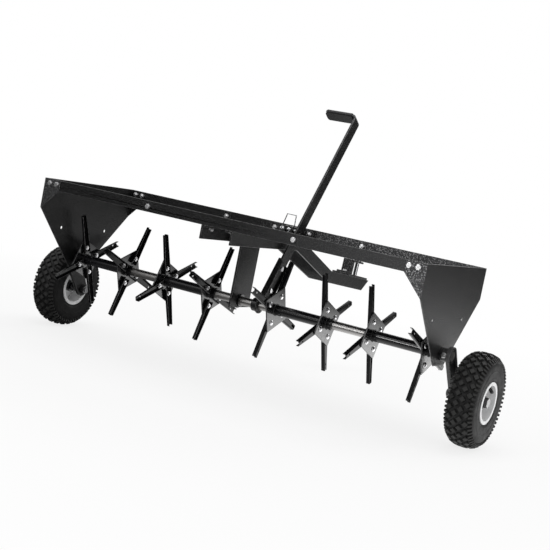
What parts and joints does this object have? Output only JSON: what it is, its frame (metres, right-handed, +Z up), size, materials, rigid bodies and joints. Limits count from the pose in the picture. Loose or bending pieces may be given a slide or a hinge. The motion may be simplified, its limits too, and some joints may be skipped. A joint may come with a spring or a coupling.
{
  "type": "tow behind aerator",
  "caption": "Towed lawn plug aerator with a weight tray, spoon-tine reels turning on a lift shaft, wheels on swing arms, a lift lever with lock pin and a drop tongue with a hitch pin.",
  "frame": {"origin": "on the ground, at the middle of the bounding box", "axes": "+X to the right seen from behind, along the tray; +Y forward along the tongue; +Z up"},
  "size_m": [1.477, 0.9611, 0.8262],
  "materials": {
    "powder_coat": "textured black powder coat",
    "gloss_black": "smooth black paint",
    "zinc": "bright zinc plate",
    "chrome": "polished plate",
    "shaft_steel": "bright drawn steel",
    "rim_white": "white paint",
    "tyre_rubber": "moulded rubber",
    "grip_vinyl": "dipped vinyl"
  },
  "bodies": {
    "frame": {"tray": "powder_coat", "cross_braces": "powder_coat", "left_end_plate": "powder_coat", "right_end_plate": "powder_coat", "left_end_bush": "gloss_black", "right_end_bush": "gloss_black", "centre_hanger": "powder_coat", "hanger_bush": "gloss_black", "left_tongue_bar": "powder_coat", "right_tongue_bar": "powder_coat", "hitch_saddle": "powder_coat", "hitch_strap": "powder_coat", "lock_bracket": "powder_coat", "corner_bolts": "zinc", "brace_bolts": "zinc", "lock_bracket_bolts": "zinc", "tongue_bolts": "zinc", "hanger_bolts": "zinc", "hitch_bolts": "zinc", "lock_spring": "chrome"},
    "lift": {"lift_shaft": "shaft_steel", "reel_collars": "gloss_black", "lever_collar": "gloss_black", "lever_bracket": "powder_coat", "lever_bar": "powder_coat", "lever_grip": "grip_vinyl", "lever_bolts": "zinc", "left_wheel_arm": "powder_coat", "right_wheel_arm": "powder_coat", "arm_bolts": "zinc", "axle_spacers": "zinc", "axle_washers": "zinc", "left_axle_bolt": "zinc", "right_axle_bolt": "zinc"},
    "lock_pin": {"lock_pin": "chrome"},
    "lock_bail": {"lock_bail": "chrome"},
    "hitch_pin": {"hitch_pin": "chrome"},
    "left_wheel": {"left_tyre": "tyre_rubber", "left_rim": "rim_white", "left_hub": "zinc", "left_valve": "tyre_rubber"},
    "right_wheel": {"right_tyre": "tyre_rubber", "right_rim": "rim_white", "right_hub": "zinc", "right_valve": "tyre_rubber"},
    "reel_outer_left": {"outer_left_reel": "gloss_black", "outer_left_tines": "gloss_black", "outer_left_tine_bolts": "zinc"},
    "reel_inner_left": {"inner_left_reel": "gloss_black", "inner_left_tines": "gloss_black", "inner_left_tine_bolts": "zinc"},
    "reel_inner_right": {"inner_right_reel": "gloss_black", "inner_right_tines": "gloss_black", "inner_right_tine_bolts": "zinc"},
    "reel_outer_right": {"outer_right_reel": "gloss_black", "outer_right_tines": "gloss_black", "outer_right_tine_bolts": "zinc"}
  },
  "joints": [
    {"name": "lift_lever", "type": "hinge", "parent": "frame", "child": "lift", "pos_m": [0, -0.26323, 0.233], "axis": [1, 0, 0], "range_deg": [0, 65]},
    {"name": "left_wheel_spin", "type": "hinge", "parent": "lift", "child": "left_wheel", "pos_m": [-0.6985, -0.18123, 0.128], "axis": [1, 0, 0], "continuous": true},
    {"name": "right_wheel_spin", "type": "hinge", "parent": "lift", "child": "right_wheel", "pos_m": [0.6985, -0.18123, 0.128], "axis": [1, 0, 0], "continuous": true},
    {"name": "outer_left_reel_spin", "type": "hinge", "parent": "lift", "child": "reel_outer_left", "pos_m": [-0.495, -0.26323, 0.233], "axis": [1, 0, 0], "continuous": true},
    {"name": "inner_left_reel_spin", "type": "hinge", "parent": "lift", "child": "reel_inner_left", "pos_m": [-0.191, -0.26323, 0.233], "axis": [1, 0, 0], "continuous": true},
    {"name": "inner_right_reel_spin", "type": "hinge", "parent": "lift", "child": "reel_inner_right", "pos_m": [0.191, -0.26323, 0.233], "axis": [1, 0, 0], "continuous": true},
    {"name": "outer_right_reel_spin", "type": "hinge", "parent": "lift", "child": "reel_outer_right", "pos_m": [0.495, -0.26323, 0.233], "axis": [1, 0, 0], "continuous": true},
    {"name": "lock_pin_slide", "type": "slide", "parent": "frame", "child": "lock_pin", "axis": [1, 0, 0], "range_m": [0, 0.0065]},
    {"name": "lock_bail_swing", "type": "hinge", "parent": "lock_pin", "child": "lock_bail", "pos_m": [0.0037, -0.12704, 0.45095], "axis": [0, 1, 0], "range_deg": [-95, 0]},
    {"name": "hitch_pin_pull", "type": "slide", "parent": "frame", "child": "hitch_pin", "axis": [0, 0.089, 0.996], "range_m": [0, 0.1]}
  ]
}
